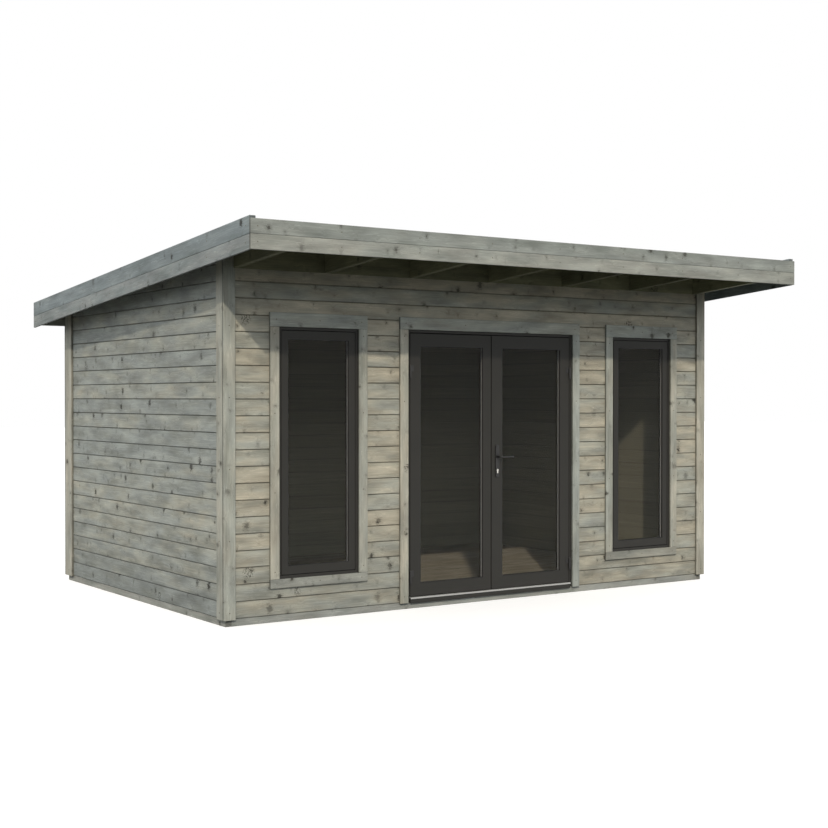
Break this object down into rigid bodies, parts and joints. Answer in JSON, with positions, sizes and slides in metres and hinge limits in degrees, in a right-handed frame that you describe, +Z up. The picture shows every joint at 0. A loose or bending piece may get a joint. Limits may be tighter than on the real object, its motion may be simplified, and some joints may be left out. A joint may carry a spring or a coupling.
{
  "type": "garden cabin",
  "caption": "Timber-clad garden cabin with a single-pitch roof, glazed double doors that swing out, a lever handle and tall dark-framed windows.",
  "frame": {"origin": "on the ground under the middle of the roof's outline", "axes": "+X right along the front, +Y from the front to the back, +Z up"},
  "size_m": [4.96, 4.026, 2.6886],
  "materials": {
    "base_timber": "pressure-treated sawn timber",
    "floor_boards": "planed softwood boards",
    "wall_lining": "planed softwood",
    "cladding_boards": "grey-green treated softwood boards",
    "trim_boards": "grey-green treated softwood",
    "dark_frame": "anthracite satin paint",
    "glazing": "clear double glazing",
    "threshold_metal": "mill aluminium",
    "black_metal": "black satin",
    "lock_metal": "nickel-plated",
    "roof_timber": "treated softwood",
    "roof_covering": "mineral-faced bitumen felt",
    "fascia_boards": "grey-green treated softwood"
  },
  "bodies": {
    "cabin": {"base_side_beams": "base_timber", "base_end_beams": "base_timber", "floor_joists": "base_timber", "floor_deck": "floor_boards", "front_wall_left": "wall_lining", "front_wall_right": "wall_lining", "front_wall_over_door": "wall_lining", "left_wall": "wall_lining", "right_wall": "wall_lining", "back_wall": "wall_lining", "front_cladding_left": "cladding_boards", "front_cladding_right": "cladding_boards", "front_cladding_over_door": "cladding_boards", "left_cladding": "cladding_boards", "right_cladding": "cladding_boards", "back_cladding": "cladding_boards", "front_corner_trims": "trim_boards", "back_corner_trims": "trim_boards", "side_corner_trims": "trim_boards", "window_side_trims": "trim_boards", "window_head_trims": "trim_boards", "window_sill_trims": "trim_boards", "door_side_trims": "trim_boards", "door_head_trim": "trim_boards", "window_frames": "dark_frame", "window_sashes": "dark_frame", "door_jambs": "dark_frame", "door_head": "dark_frame", "door_sill": "dark_frame", "window_panes": "glazing", "door_threshold": "threshold_metal", "frame_hinges": "black_metal", "rafters": "roof_timber", "eave_blocks": "roof_timber", "roof_deck": "roof_timber", "roof_felt": "roof_covering", "front_fascia_upper": "fascia_boards", "front_fascia_lower": "fascia_boards", "side_fascias_upper": "fascia_boards", "side_fascias_lower": "fascia_boards", "back_fascia": "fascia_boards", "roof_edge_battens": "fascia_boards"},
    "left_door": {"left_leaf": "dark_frame", "left_leaf_glass": "glazing", "left_leaf_hinges": "black_metal"},
    "right_door": {"right_leaf": "dark_frame", "right_leaf_glass": "glazing", "right_leaf_hinges": "black_metal", "handle_plates": "black_metal", "lock_cylinder": "lock_metal"},
    "lever": {"lever_handles": "black_metal"}
  },
  "joints": [
    {"name": "left_door_swing", "type": "hinge", "parent": "cabin", "child": "left_door", "pos_m": [-0.748, -1.203, 1], "axis": [0, 0, -1], "range_deg": [0, 110]},
    {"name": "right_door_swing", "type": "hinge", "parent": "cabin", "child": "right_door", "pos_m": [0.78, -1.203, 1], "axis": [0, 0, 1], "range_deg": [0, 110]},
    {"name": "lever_turn", "type": "hinge", "parent": "right_door", "child": "lever", "pos_m": [0.057, -1.174, 1.103], "axis": [0, 1, 0], "range_deg": [0, 40], "stiffness_Nm_per_rad": 1}
  ]
}
